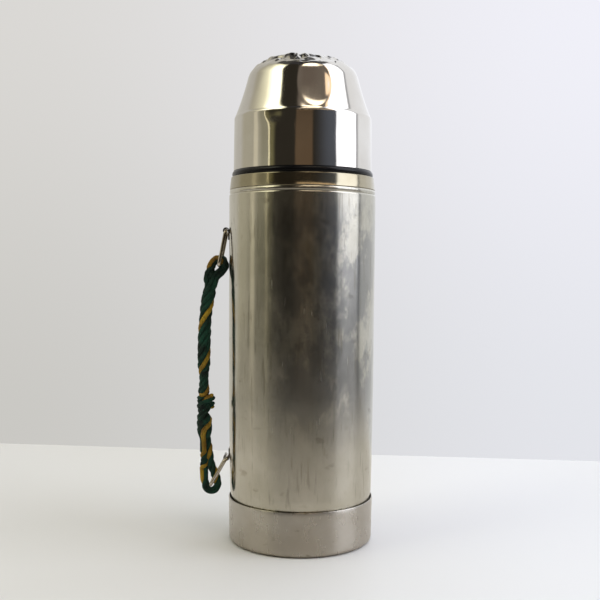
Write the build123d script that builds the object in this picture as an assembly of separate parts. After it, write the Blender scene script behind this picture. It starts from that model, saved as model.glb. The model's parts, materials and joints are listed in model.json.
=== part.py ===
from build123d import *
import math
import os

# Insulated bottle: a metal-cased, glass-lined one-litre vacuum flask with a screw-on cup, a cork stopper,
# a screw-on base and a carrying handle of doubled cord between two wire rings.
# Millimetres. Z is the flask's axis, the floor is Z = 0 and the handle is on the -X side.

os.makedirs("parts", exist_ok=True)

# ---------------------------------------------------------------- driving dimensions
SHEET = 0.6                       # metal of the case and the base cap
CUP_SHEET = 0.7                   # metal of the cup
RUN_GAP = 0.3                     # room between pieces of different bodies

CASE_OUTLINE = [(45.4, 20.0), (45.5, 29.6), (46.1, 32.5), (46.3, 40.0), (46.7, 65.0), (47.1, 96.0),
                (47.3, 205.0), (47.3, 223.0)]
BEAD_R, BEAD_CREST_R = 46.6, 47.1
BEAD_BOTTOM, BEAD_TOP = 223.9, 226.9

COLLAR_BOTTOM_R, COLLAR_TOP_R, COLLAR_TOP = 47.0, 46.2, 234.9
FLANGE_R, FLANGE_TOP = 45.5, 238.6
NECK_SKIRT_R, MOUTH_R = 43.5, 20.0
LIP_TOP = 258.5

CUP_RIM_Z, CUP_EDGE_Z, CUP_CREST_Z, CUP_TOP = 238.9, 271.8, 310.3, 311.2
CUP_RIM_R, CUP_EDGE_R, CUP_CREST_R = 44.6, 44.2, 25.5
CUP_CONE = [(41.4, 278.6), (35.7, 297.9)]        # the conical side, bottom and top
CUP_SHOULDER = (32.1, 305.1)                     # middle of the arc from the cone to the flat top

BASE_RIM_R, BASE_WALL_R = 46.9, 46.5
BASE_RIM_Z, BASE_ROUND = 28.5, 3.2

# the glass filler: its inner surface, and how far its other surfaces lie outside that one
GLASS_R, GLASS_NECK_R, GLASS_NECK_ROUND = 40.7, 19.0, 8.0
GLASS_FLOOR_CENTRE, GLASS_SHOULDER, GLASS_TOP = 68.0, 211.5, 245.5
GLASS_WALL, VACUUM = 1.2, 2.1
FILLER = 2 * GLASS_WALL + VACUUM

CUP_LEAD, BASE_LEAD = 5.0, 4.0
CUP_MALE_ROOT, CUP_MALE_CREST, CUP_FEMALE_CREST, CUP_FEMALE_ROOT = 39.9, 41.4, 40.4, 41.9
BASE_MALE_ROOT, BASE_MALE_CREST, BASE_FEMALE_CREST, BASE_FEMALE_ROOT = 43.0, 44.7, 43.6, 45.2

CORK_TOP_R, CORK_BOTTOM_R, CORK_BOTTOM, CORK_TOP = 18.6, 18.0, 228.0, 258.8
KNOB_R, KNOB_TOP, PIN_R = 21.0, 268.0, 1.5

WIRE_R, RING_HALF_WIDTH, RING_CORNER = 1.1, 6.6, 2.5
UPPER_LENGTH, LOWER_LENGTH = 23.0, 20.4  # of each ring, from bar to bar
STRAP, STRAP_HALF_WIDTH, LUG_PLATE = 0.6, 4.3, 6.0
CURL_R = 1.4                      # inside of the lug's curl
UPPER_KNUCKLE, LOWER_KNUCKLE = (-49.25, 200.8), (-48.45, 52.8)
UPPER_TILT, LOWER_TILT = 11.0, 30.0      # how far each ring hangs out from plumb, degrees

CORD_D, STEM_D = 4.6, 8.4         # one cord, and the two laid together
UPPER_EYE_R, LOWER_EYE_R = 4.0, 4.8      # middle of the cord round each ring's bar
EYE_STRAIGHT, EYE_BEND_R = 2.5, 6.0      # where each eye leaves the stem
STEM_ROUTE = [(-58.6, 168.5), (-62.2, 154.0), (-63.8, 128.0), (-63.6, 90.0), (-63.3, 70.0), (-61.6, 54.0)]
CORD_END_ROUTES = [((-61.0, 89.5), (-57.4, 92.6)), ((-61.5, 84.0), (-57.2, 86.2))]
CORD_END_D = 4.2


# ---------------------------------------------------------------- helpers
def edges_along(start, *steps):
    """Edges in (r, z). A step is a corner, or (middle, end) for an arc."""
    edges, here = [], start
    for step in steps:
        if isinstance(step[0], tuple):
            edges.append(ThreePointArc(here, *step))
            here = step[1]
        else:
            edges.append(Line(here, step))
            here = step
    return edges


def turned(start, *steps):
    """Solid of revolution about Z of the closed outline through these steps."""
    return revolve(Plane.XZ * make_face(edges_along(start, *steps, start)), Axis.Z)


def polar(centre, radius, degrees):
    angle = math.radians(degrees)
    return (centre[0] + radius * math.cos(angle), centre[1] + radius * math.sin(angle))


def arc(centre, radius, first, last):
    """An arc step about a centre, between two directions in degrees."""
    return (polar(centre, radius, (first + last) / 2), polar(centre, radius, last))


def thread(root_r, crest_r, lead, z, turns, root_width, crest_width):
    """Right-hand ridge from a ring's wall at root_r to its crest, its foot sunk a little in the ring."""
    sink = 0.2 if root_r < crest_r else -0.2
    helix = Helix(pitch=lead, height=lead * turns, radius=root_r)
    section = make_face(Polyline(
        (-sink, -root_width / 2), (crest_r - root_r, -crest_width / 2),
        (crest_r - root_r, crest_width / 2), (-sink, root_width / 2), close=True))
    start = Plane(origin=helix @ 0, x_dir=(1, 0, 0), z_dir=helix % 0)
    return Pos(0, 0, z) * sweep(start * section, path=helix, is_frenet=True)


def tube(path, diameter):
    section = Plane(origin=path @ 0, z_dir=path % 0) * Circle(diameter / 2)
    return sweep(section, path=path)


def in_xz(points):
    return [(x, 0, z) for x, z in points]


def save(name, shape):
    shape.label = name
    export_step(shape, f"parts/{name}.step")


# ---------------------------------------------------------------- flask
def case_envelope():
    """All that lies inside the case's outer surface."""
    return turned((0, CASE_OUTLINE[0][1]), *CASE_OUTLINE, (0, CASE_OUTLINE[-1][1]))


def outer_case():
    """Rolled tube with a half-round bead at its top edge."""
    inside = [(r - SHEET, z) for r, z in reversed(CASE_OUTLINE)]
    middle = (BEAD_BOTTOM + BEAD_TOP) / 2
    return turned(*CASE_OUTLINE, (BEAD_R, BEAD_BOTTOM), ((BEAD_CREST_R, middle), (BEAD_R, BEAD_TOP)),
                  (BEAD_R - SHEET, BEAD_TOP), (BEAD_R - SHEET, BEAD_BOTTOM), *inside)


def shoulder_collar():
    """Tapered metal band above the bead, its skirt inside the case."""
    skirt = BEAD_R - SHEET
    return turned((skirt, 216), (skirt, BEAD_TOP), (COLLAR_BOTTOM_R, BEAD_TOP), (COLLAR_TOP_R, COLLAR_TOP - 0.6),
                  (COLLAR_TOP_R - 0.6, COLLAR_TOP), (NECK_SKIRT_R + 0.1, COLLAR_TOP),
                  (NECK_SKIRT_R + 0.1, COLLAR_TOP - 0.7), (COLLAR_TOP_R - 0.9, COLLAR_TOP - 0.7),
                  (skirt - 0.7, BEAD_TOP), (skirt - 0.7, 216))


def neck_collar():
    """Plastic neck: half-round flange under the cup, threaded band, and pouring lip."""
    foot = 226.0
    flange_mid = (COLLAR_TOP + FLANGE_TOP) / 2
    seat = GLASS_TOP + 1.0
    body = turned(
        (NECK_SKIRT_R, foot), (NECK_SKIRT_R, COLLAR_TOP), (FLANGE_R - 0.8, COLLAR_TOP),
        ((FLANGE_R, flange_mid), (FLANGE_R - 0.8, FLANGE_TOP)), (CUP_MALE_ROOT, FLANGE_TOP), (CUP_MALE_ROOT, 250.5),
        (38.4, 252.0), (26.0, 256.0), (23.0, LIP_TOP - 0.4), (22.4, LIP_TOP), (MOUTH_R + 0.5, LIP_TOP),
        (MOUTH_R, LIP_TOP - 0.6), (MOUTH_R, seat), (37.7, seat), (37.7, FLANGE_TOP),
        (41.5, COLLAR_TOP - 0.4), (41.5, foot))
    return body + thread(CUP_MALE_ROOT, CUP_MALE_CREST, CUP_LEAD, 242.0, 1.25, 2.0, 1.0)


def filler_steps(offset, top):
    """Start and steps of the glass bottle's inner surface grown by an offset, from its floor to a height."""
    floor = (0, GLASS_FLOOR_CENTRE)
    turn_r = GLASS_NECK_R + GLASS_NECK_ROUND
    shoulder = (turn_r, GLASS_SHOULDER)
    shoulder_round = GLASS_R - turn_r
    neck = (turn_r, GLASS_SHOULDER + shoulder_round + GLASS_NECK_ROUND)
    return [
        (0, GLASS_FLOOR_CENTRE - GLASS_R - offset), arc(floor, GLASS_R + offset, -90, 0),
        (GLASS_R + offset, GLASS_SHOULDER), arc(shoulder, shoulder_round + offset, 0, 90),
        arc(neck, GLASS_NECK_ROUND - offset, 270, 180), (GLASS_NECK_R + offset, top)]


def glass_wall(inner, outer, inner_top, outer_top, *rim):
    """Bottle-shaped wall between two offsets, its rim closed through the corners given."""
    inside, outside = filler_steps(inner, inner_top), filler_steps(outer, outer_top)
    rim_edges = edges_along((GLASS_NECK_R + outer, outer_top), *rim, (GLASS_NECK_R + inner, inner_top))
    edges = [*edges_along(*inside), *edges_along(*outside), *rim_edges, Line(inside[0], outside[0])]
    return revolve(Plane.XZ * make_face(edges), Axis.Z)


def inner_glass():
    return glass_wall(0, GLASS_WALL, GLASS_TOP, GLASS_TOP)


def outer_glass():
    """Outer wall, joined to the inner one at the rim, with the seal-off tip under its floor."""
    rim_r, rim_floor = GLASS_NECK_R + GLASS_WALL, GLASS_TOP - GLASS_WALL
    wall = glass_wall(FILLER - GLASS_WALL, FILLER, rim_floor, GLASS_TOP, (rim_r, GLASS_TOP), (rim_r, rim_floor))
    tip_top = GLASS_FLOOR_CENTRE - GLASS_R - FILLER + 0.8
    return wall + turned((0, tip_top), (3.4, tip_top), (1.2, tip_top - 8), (0, tip_top - 9))


def glass_spacers():
    """Three pads that hold the two glass walls apart."""
    ring = turned((GLASS_R + GLASS_WALL, 75), (GLASS_R + FILLER - GLASS_WALL, 75),
                  (GLASS_R + FILLER - GLASS_WALL, 85), (GLASS_R + GLASS_WALL, 85))
    pads = [ring & (Rot(0, 0, turn) * Pos(GLASS_R, 0, 80) * Box(20, 10, 20)) for turn in (30, 150, 270)]
    return Compound(children=[solid for pad in pads for solid in pad.solids()])


def flat_ring(inner, outer, bottom, top):
    return turned((inner, bottom), (outer, bottom), (outer, top), (inner, top))


def neck_gasket():
    return flat_ring(GLASS_NECK_R + 0.4, 24.5, GLASS_TOP, GLASS_TOP + 1)


def centring_ring():
    """Foam band that keeps the glass off the case."""
    case_inside = CASE_OUTLINE[-3][0] - SHEET
    return flat_ring(GLASS_R + FILLER, case_inside, 180, 200)


def base_thread_ring():
    """Ring fixed in the case's bottom end, threaded below it for the base."""
    case_end = CASE_OUTLINE[0][1]
    held_r = CASE_OUTLINE[0][0] - SHEET
    body = turned((held_r, 27), (held_r, case_end), (BASE_MALE_ROOT, case_end), (BASE_MALE_ROOT, 8),
                  (41.2, 8), (41.2, 27))
    return body + thread(BASE_MALE_ROOT, BASE_MALE_CREST, BASE_LEAD, 10.0, 1.75, 1.9, 0.9)


def lug(knuckle, plate_way):
    """Strap welded to the case, its end curled round a ring's bar. plate_way is 1 if the plate points up."""
    outer = CURL_R + STRAP
    open_sector = Polyline((0, 0), polar((0, 0), 9, 250), (9, -9), (9, 0), close=True)
    curl = Circle(outer) - Circle(CURL_R) - make_face(open_sector)
    plate = Pos((CURL_R + outer) / 2 + 0.5, -LUG_PLATE / 2) * Rectangle(STRAP + 1.0, LUG_PLATE)
    outline = curl + plate
    if plate_way > 0:
        outline = mirror(outline, about=Plane.XZ)
    strap = extrude(Plane.XZ * outline, amount=STRAP_HALF_WIDTH, both=True)
    return Pos(knuckle[0], 0, knuckle[1]) * strap - case_envelope()


# ---------------------------------------------------------------- cup
def cup_edges(sheet):
    """The cup's outer outline from its rim to its top, or with a sheet thickness its inner one."""
    rise = CUP_TOP - CUP_CREST_Z
    dome_r = (CUP_CREST_R**2 + rise**2) / (2 * rise)
    dome = (0, CUP_TOP - dome_r)
    crest_bearing = math.degrees(math.acos(CUP_CREST_R / dome_r))
    drop = sheet / 2
    return edges_along(
        (CUP_RIM_R - sheet, CUP_RIM_Z), (CUP_EDGE_R - sheet, CUP_EDGE_Z - drop),
        ((CUP_EDGE_R - 0.15 - sheet, CUP_EDGE_Z + 1.1 - drop), (CUP_EDGE_R - 0.6 - sheet, CUP_EDGE_Z + 2.1 - drop)),
        *[(r - sheet, z - drop) for r, z in CUP_CONE],
        ((CUP_SHOULDER[0] - 0.8 * sheet, CUP_SHOULDER[1] - 0.8 * sheet), polar(dome, dome_r - sheet, crest_bearing)),
        arc(dome, dome_r - sheet, crest_bearing, 90))


def cup_shell():
    rim = Line((CUP_RIM_R, CUP_RIM_Z), (CUP_RIM_R - CUP_SHEET, CUP_RIM_Z))
    top = Line((0, CUP_TOP), (0, CUP_TOP - CUP_SHEET))
    return revolve(Plane.XZ * make_face([*cup_edges(0), *cup_edges(CUP_SHEET), rim, top]), Axis.Z)


def cup_thread_ring():
    """Threaded ring pressed into the cup's rim."""
    outer = CUP_EDGE_R - CUP_SHEET
    body = flat_ring(CUP_FEMALE_ROOT, outer, 240.2, 256)
    ridge = thread(CUP_FEMALE_ROOT, CUP_FEMALE_CREST, CUP_LEAD, 242.0 + CUP_LEAD / 2, 1.25, 2.0, 1.0)
    return body + ridge


def cup_washer():
    bottom = FLANGE_TOP + RUN_GAP
    return flat_ring(CUP_MALE_CREST + 0.4, 43.1, bottom, bottom + 1)


# ---------------------------------------------------------------- stopper
def stopper_cork():
    return turned((PIN_R, CORK_BOTTOM), (CORK_BOTTOM_R - 0.8, CORK_BOTTOM), (CORK_BOTTOM_R, CORK_BOTTOM + 0.8),
                  (CORK_TOP_R, CORK_TOP), (PIN_R, CORK_TOP))


def stopper_knob():
    """Cap of the stopper with grip flutes round its edge."""
    knob = turned((PIN_R, CORK_TOP), (KNOB_R - 0.6, CORK_TOP), (KNOB_R, CORK_TOP + 0.6), (KNOB_R, KNOB_TOP - 1.6),
                  (KNOB_R - 1.6, KNOB_TOP), (6, KNOB_TOP), (6, KNOB_TOP - 1.4), (PIN_R, KNOB_TOP - 1.4))
    flutes = 18
    for i in range(flutes):
        knob -= Rot(0, 0, 360 / flutes * i) * Pos(KNOB_R + 1.2, 0, KNOB_TOP) * Cylinder(2.0, 30)
    return knob


def stopper_pin():
    """Rod with a head in the knob's recess, riveted over the foot washer."""
    head, foot = KNOB_TOP - 1.4, CORK_BOTTOM - 1.2
    return turned((0, foot - 0.8), (2.6, foot - 0.8), (2.6, foot), (PIN_R, foot), (PIN_R, head), (3.6, head),
                  (3.6, head + 1), (0, head + 1))


def stopper_foot():
    return turned((PIN_R, CORK_BOTTOM - 1.2), (9, CORK_BOTTOM - 1.2), (9, CORK_BOTTOM), (PIN_R, CORK_BOTTOM))


# ---------------------------------------------------------------- base
def base_cap():
    """Pressed metal cup that screws on under the case and is the foot."""
    corner = (BASE_WALL_R - BASE_ROUND, BASE_ROUND)
    outside = turned((0, 0), (corner[0], 0), arc(corner, BASE_ROUND, -90, 0),
                     (BASE_RIM_R, BASE_RIM_Z), (0, BASE_RIM_Z))
    inner_round = BASE_ROUND - SHEET
    inside = turned((0, SHEET), (corner[0], SHEET), arc(corner, inner_round, -90, 0),
                    (BASE_RIM_R - SHEET, BASE_RIM_Z), (BASE_RIM_R - SHEET, BASE_RIM_Z + 1), (0, BASE_RIM_Z + 1))
    return outside - inside


def base_cap_thread():
    outer = BASE_WALL_R - SHEET
    body = flat_ring(BASE_FEMALE_ROOT, outer, 4, 18)
    return body + thread(BASE_FEMALE_ROOT, BASE_FEMALE_CREST, BASE_LEAD, 8.0, 1.75, 1.9, 0.9)


def base_cushion():
    """Rubber cup that carries the glass's floor and leaves room for its tip."""
    bottom = SHEET + RUN_GAP
    block = turned((7, bottom), (38, bottom), (38, 4), (27, 7), (25, 30), (7, 30))
    clear_of_glass = turned(*filler_steps(FILLER + RUN_GAP, GLASS_TOP), (0, GLASS_TOP))
    return block - clear_of_glass


# ---------------------------------------------------------------- handle
def along(tilt):
    """Direction in (x, z) of something that hangs out from plumb by a tilt in degrees."""
    angle = math.radians(tilt)
    return (-math.sin(angle), -math.cos(angle))


def far_bar(knuckle, length, tilt):
    way = along(tilt)
    return (knuckle[0] + length * way[0], knuckle[1] + length * way[1])


def wire_ring(knuckle, length, tilt):
    """Closed loop of wire, one bar in the lug's curl and one in the cord's eye."""
    end = far_bar(knuckle, length, tilt)
    way = along(tilt)
    middle = ((knuckle[0] + end[0]) / 2, 0, (knuckle[1] + end[1]) / 2)
    face = Plane(origin=middle, x_dir=(0, 1, 0), z_dir=(way[1], 0, -way[0]))
    loop = (face * RectangleRounded(2 * RING_HALF_WIDTH, length, RING_CORNER)).wire()
    return tube(loop, 2 * WIRE_R)


def tangent_point(point, centre, radius, side):
    """Where a line from a point touches a circle; side is 1 or -1."""
    dx, dz = point[0] - centre[0], point[1] - centre[1]
    bearing = math.atan2(dz, dx) + side * math.acos(radius / math.hypot(dx, dz))
    return (centre[0] + radius * math.cos(bearing), centre[1] + radius * math.sin(bearing))


def cord_eye(bar, stem_end, stem_inside, radius):
    """The cord's loop round a ring's bar, from one half of the stem's end face back to the other."""
    run = (stem_end[0] - stem_inside[0], stem_end[1] - stem_inside[1])
    reach = math.hypot(*run)
    out = (run[0] / reach, run[1] / reach)
    half = (STEM_D - CORD_D) / 2
    legs = []
    for side in (-1, 1):
        start = (stem_end[0] + side * half * out[1], stem_end[1] - side * half * out[0])
        bend = (start[0] + EYE_STRAIGHT * out[0], start[1] + EYE_STRAIGHT * out[1])
        legs.append((start, bend, tangent_point(bend, bar, radius, side)))
    away = math.hypot(bar[0] - stem_end[0], bar[1] - stem_end[1])
    crown = (bar[0] + radius * (bar[0] - stem_end[0]) / away, bar[1] + radius * (bar[1] - stem_end[1]) / away)
    first, last = legs
    loop = [FilletPolyline(*in_xz(first), radius=EYE_BEND_R), ThreePointArc(*in_xz([first[2], crown, last[2]])),
            FilletPolyline(*in_xz(reversed(last)), radius=EYE_BEND_R)]
    return tube(Wire([edge for piece in loop for edge in piece.edges()]), CORD_D)


def route_radii(route):
    """The largest arcs that the runs of a route allow."""
    radii = []
    for a, b, c in zip(route, route[1:], route[2:]):
        run_in, run_out = Vector(*b) - Vector(*a), Vector(*c) - Vector(*b)
        half_turn = math.radians(run_in.get_angle(run_out)) / 2
        radii.append(0.45 * min(run_in.length, run_out.length) / math.tan(half_turn))
    return radii


def cord_stem():
    """The two halves of the cord laid together, as one thick cord."""
    radii = route_radii(STEM_ROUTE)
    print("stem radii", [round(r, 1) for r in radii])
    path = FilletPolyline(*in_xz(STEM_ROUTE), radius=radii)
    stem = tube(path, STEM_D)
    print("stem volume", round(stem.volume, 1), "section x length", round(math.pi * STEM_D**2 / 4 * path.length, 1))
    return stem


def cord_ends(stem):
    """The cord's two cut ends, which stick out of the stem."""
    ends = [tube(Line(*in_xz(route)), CORD_END_D) - stem for route in CORD_END_ROUTES]
    return Compound(children=[max(end.solids(), key=lambda s: s.volume) for end in ends])


# ---------------------------------------------------------------- write every piece
upper_bar = far_bar(UPPER_KNUCKLE, UPPER_LENGTH, UPPER_TILT)
lower_bar = far_bar(LOWER_KNUCKLE, LOWER_LENGTH, LOWER_TILT)
print("upper bar", upper_bar, "lower bar", lower_bar)

save("outer_case", outer_case())
save("shoulder_collar", shoulder_collar())
save("neck_collar", neck_collar())
save("neck_gasket", neck_gasket())
save("inner_glass", inner_glass())
save("outer_glass", outer_glass())
save("glass_spacers", glass_spacers())
save("centring_ring", centring_ring())
save("base_thread_ring", base_thread_ring())
save("upper_lug", lug(UPPER_KNUCKLE, -1))
save("lower_lug", lug(LOWER_KNUCKLE, 1))
save("cup_shell", cup_shell())
save("cup_thread_ring", cup_thread_ring())
save("cup_washer", cup_washer())
save("stopper_cork", stopper_cork())
save("stopper_knob", stopper_knob())
save("stopper_pin", stopper_pin())
save("stopper_foot", stopper_foot())
save("base_cap", base_cap())
save("base_cap_thread", base_cap_thread())
save("base_cushion", base_cushion())
save("upper_ring", wire_ring(UPPER_KNUCKLE, UPPER_LENGTH, UPPER_TILT))
save("lower_ring", wire_ring(LOWER_KNUCKLE, LOWER_LENGTH, LOWER_TILT))
stem_solid = cord_stem()
save("cord_stem", stem_solid)
save("cord_upper_eye", cord_eye(upper_bar, STEM_ROUTE[0], STEM_ROUTE[1], UPPER_EYE_R))
save("cord_lower_eye", cord_eye(lower_bar, STEM_ROUTE[-1], STEM_ROUTE[-2], LOWER_EYE_R))
save("cord_ends", cord_ends(stem_solid))
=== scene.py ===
import json
import math

import bmesh
import bpy
from mathutils import Matrix, Vector, noise

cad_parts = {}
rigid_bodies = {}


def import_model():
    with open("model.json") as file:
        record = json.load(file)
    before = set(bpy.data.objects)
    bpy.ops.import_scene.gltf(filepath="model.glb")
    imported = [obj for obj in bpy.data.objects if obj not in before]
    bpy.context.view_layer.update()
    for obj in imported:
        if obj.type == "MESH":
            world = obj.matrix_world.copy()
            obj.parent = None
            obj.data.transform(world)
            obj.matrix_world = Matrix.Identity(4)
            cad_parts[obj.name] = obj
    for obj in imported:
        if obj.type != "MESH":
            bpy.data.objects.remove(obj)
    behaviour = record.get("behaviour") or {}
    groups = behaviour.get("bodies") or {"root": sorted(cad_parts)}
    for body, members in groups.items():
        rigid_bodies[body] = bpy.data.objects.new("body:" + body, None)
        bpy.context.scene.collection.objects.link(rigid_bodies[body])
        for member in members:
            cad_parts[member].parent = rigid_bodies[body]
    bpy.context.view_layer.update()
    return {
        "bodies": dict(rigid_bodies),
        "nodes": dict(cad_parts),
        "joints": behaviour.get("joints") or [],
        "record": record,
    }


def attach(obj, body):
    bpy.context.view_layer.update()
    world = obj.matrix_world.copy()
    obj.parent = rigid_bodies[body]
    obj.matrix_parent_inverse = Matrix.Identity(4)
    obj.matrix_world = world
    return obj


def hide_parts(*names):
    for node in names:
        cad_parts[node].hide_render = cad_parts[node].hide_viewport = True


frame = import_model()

MM = 0.001

# ---------------------------------------------------------------- sizes, in millimetres
SHEET = 0.6
CASE_OUTLINE = [(45.4, 20.0), (45.5, 29.6), (46.1, 32.5), (46.3, 40.0), (46.7, 65.0), (47.1, 96.0),
                (47.3, 205.0), (47.3, 222.6)]
BEAD_R, BEAD_CREST_R, BEAD_BOTTOM, BEAD_TOP = 46.5, 47.1, 223.9, 226.9
BEAD_HOLLOW = (47.12, 223.4)
COLLAR_BOTTOM_R, COLLAR_TOP_R, COLLAR_TOP, COLLAR_FOOT = 47.0, 46.2, 234.9, 216
NECK_SKIRT_R, NECK_SKIRT_BORE, NECK_FOOT, NECK_SEAT, NECK_SEAT_R = 43.5, 41.5, 226.0, 246.5, 37.7
FLANGE_R, FLANGE_TOP, FLANGE_ROUND = 45.5, 238.6, 0.8
NECK_MOUTH = [(38.4, 252.0), (26.0, 256.0), (23.0, 258.1), (22.4, 258.5), (20.5, 258.5), (20.0, 257.9)]
THREAD_ROOT_R, THREAD_CREST_R, THREAD_LEAD, THREAD_TURNS = 39.9, 41.4, 5.0, 1.25
THREAD_START, THREAD_ROOT_WIDTH, THREAD_CREST_WIDTH, THREAD_SINK = 242.0, 2.0, 1.0, 0.2
CUP_SHEET = 0.7
CUP_RIM_R, CUP_RIM_Z, CUP_EDGE_R, CUP_CREST_R, CUP_CREST_Z, CUP_TOP = 44.6, 238.9, 44.2, 25.5, 310.3, 311.2
CUP_EDGE_Z = (271.6, 272.7, 273.7)
CONE_MIDDLE, CONE_TOP, CUP_SHOULDER = (39.85, 283.9), (35.7, 297.9), (32.1, 305.1)
CUP_SEGMENTS, CUP_SPACING = 460, 0.55
# marks on the cup. A spot is its bearing in degrees from +X, height, half width and half height
CRUMPLE_Z, CRUMPLE_HALF_HEIGHT, CRUMPLE_INNER, CRUMPLE_OUTER, CRUMPLE_R = 308.3, 3.6, 19, 25, 28
FOLD_SIZE, CREASE_SIZE = 10.0, 5.5
CONE_DISH, DISH_LIP, DISH_LIP_WIDTH = (-79.0, 289.3, 11.2, 14.6), 0.15, 0.12
EDGE_DENT, EDGE_DENT_DEPTH = (-112.5, 270.5, 7.0, 5.0), 0.80
BASE_RIM_R, BASE_WALL_R, BASE_RIM_Z, BASE_ROUND = 46.9, 46.5, 28.5, 3.2

# the handle's cord: one cord with its halves laid round each other, and an eye round each ring's bar
# in the pairs of numbers the stem's route is (x, z), and its turns and radii are (z, value)
STEM_ROUTE = [(-58.6, 168.5), (-62.2, 154.0), (-63.8, 128.0), (-63.6, 90.0), (-63.3, 70.0), (-61.6, 54.0)]
STEM_TURNS = [(47.0, -3.25), (54.0, -3.22), (71.0, -3.0), (93.0, -2.0), (113.0, -1.0), (145.0, 0.0),
              (168.5, 0.75)]
STEM_RADII = [(47.0, 4.8), (60.0, 4.8), (73.0, 5.0), (91.0, 5.2), (95.0, 4.3), (98.5, 3.4), (104.0, 3.0),
              (108.0, 3.3), (113.0, 4.2), (122.0, 4.4), (131.0, 4.3), (145.0, 4.1), (156.0, 4.4),
              (170.0, 4.8)]
STEM_FOOT, STEM_HEAD, TUCK_Z = 50.0, 167.0, 88.5
LOWER_EYE = [(-63.6, 46.0), (-63.3, 41.4), (-63.0, 36.2), (-61.8, 31.6), (-58.6, 29.8), (-55.3, 31.6),
             (-54.2, 35.6), (-55.7, 39.8), (-57.4, 44.0), (-58.8, 47.5)]
UPPER_EYE = [(-57.0, 169.6), (-55.4, 172.0), (-52.4, 174.4), (-49.9, 178.0), (-51.0, 181.6), (-54.6, 183.0),
             (-57.8, 180.6), (-59.2, 176.6), (-60.4, 172.8), (-61.4, 169.6)]
CUT_END_UPPER = [(-57.2, -1.4, 93.4), (-58.6, -2.2, 92.4), (-60.4, -2.9, 90.8)]
CUT_END_LOWER = [(-61.4, 2.8, 87.0), (-58.8, 2.6, 86.4), (-57.0, 2.2, 86.2)]
STRAND_RADII = [(28.0, 1.28), (34.0, 1.38), (41.0, 1.52), (52.0, 1.46), (92.0, 1.36), (166.0, 1.62),
                (173.0, 1.66), (179.0, 1.52), (184.0, 1.50)]
STRAND_SEGMENTS, YARN_COUNT, YARN_PITCH, END_ROUND = 24, 6, 3.2, 1.6
# shares of the stem's radius: where a half's middle, a laid strand's middle and its own edge lie
HALF_REACH, LAID_REACH, LAID_RADIUS = 0.34, 0.63, 0.37
CORD_STEP = 0.5
EYE_TWIST = 2 * math.pi * CORD_STEP / 24
# which way the mustard strand faces in the eyes: half, falling or rising, height and direction
EYE_FACES = [("first", -1, 63.0, (0.1, -1, 0)), ("first", -1, 56.5, (0.3, -1, 0)),
             ("first", -1, 51.0, (0, 1, 0)), ("first", -1, 45.5, (-0.8, -0.5, 0)),
             ("first", -1, 38.0, (-0.9, -0.4, 0)), ("first", -1, 33.0, (0, 1, 0)),
             ("second", 1, 33.0, (0, 1, 0)), ("second", 1, 46.0, (0, 1, 0)),
             ("second", 1, 167.0, (0, 1, 0)), ("second", 1, 176.0, (0, 1, 0)),
             ("first", -1, 182.0, (-0.6, -0.6, 0.5)), ("first", -1, 177.5, (-0.9, -0.5, 0)),
             ("first", -1, 173.5, (0, 1, 0)), ("first", -1, 168.0, (-0.2, 1, 0))]

# ---------------------------------------------------------------- camera and room
CAMERA_PLACE, CAMERA_PITCH, CAMERA_ROLL = (0, -0.585, 0.1795), 2.3, 0.4
LENS, SENSOR, SHIFT_X = 53.82, 36.0, -0.0028
TABLE_EDGE = [(-1.6, -1.25, 0), (1.6, -1.25, 0), (1.6, 0.10, 0), (0.0, 0.262, 0), (-1.6, 0.45, 0)]
# what the metal reflects: azimuths (0 towards the camera, positive to the right), elevations, the soft edges
# of each in degrees, colour and strength. Later ones cover earlier ones
ROOM_PATCHES = [
    # pale wall behind the flask, and a pale strip, a bright line and an olive strip on the left
    ((-180, -120), (-20, 90), (8, 8), (20, 20), (0.62, 0.60, 0.55), 1.0),
    ((-88, -79), (-30, 30), (2, 2), (6, 6), (0.95, 0.88, 0.68), 0.6),
    ((-57.9, -56.1), (3, 22), (1, 1), (4, 4), (1.6, 1.45, 0.95), 1.0),
    ((-55, -48), (5, 20), (1, 4), (2, 3), (0.20, 0.18, 0.09), 1.0),
    # cream light high on the left, seen in the cup's cone
    ((-84, -49), (30, 58), (36, 3), (3, 5), (1.9, 1.82, 1.3), 1.0),
    ((-74, -50), (31, 52), (12, 3), (3, 7), (3.2, 3.1, 2.4), 0.85),
    # brown strip seen in the cup's skirt
    ((-12, 16), (5, 12), (2, 2), (1.5, 3), (0.15, 0.10, 0.060), 1.0),
    # browns seen in the dish in the cone, with warm light under it and to its right
    ((-12, 50), (26.5, 58), (4, 3), (1.5, 2), (0.20, 0.165, 0.135), 1.0),
    ((-3, 30), (38, 47), (8, 10), (3, 3), (0.16, 0.125, 0.10), 0.8),
    ((-8, 58), (25.2, 27.2), (4, 4), (0.8, 0.8), (2.4, 1.8, 1.2), 1.0),
    ((50.5, 56.5), (34, 50), (1.5, 1.5), (3, 3), (2.2, 1.6, 1.05), 0.8),
    # large window on the right: its sill, then the window
    ((66, 97), (0.6, 8), (7, 3), (2.4, 3), (2.1, 2.14, 2.3), 1.0),
    ((57, 98), (4.6, 66), (2, 3), (2.2, 4), (2.45, 2.48, 2.66), 1.0),
    # dark ceiling, seen in the crumpled folds, and warm light in front of it over the dish
    ((-200, 200), (61, 83), (5, 5), (3, 3), (0.05, 0.048, 0.05), 0.92),
    ((-2, 46), (52, 64), (6, 8), (1.5, 3), (3.3, 2.8, 2.1), 1.0)]

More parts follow.
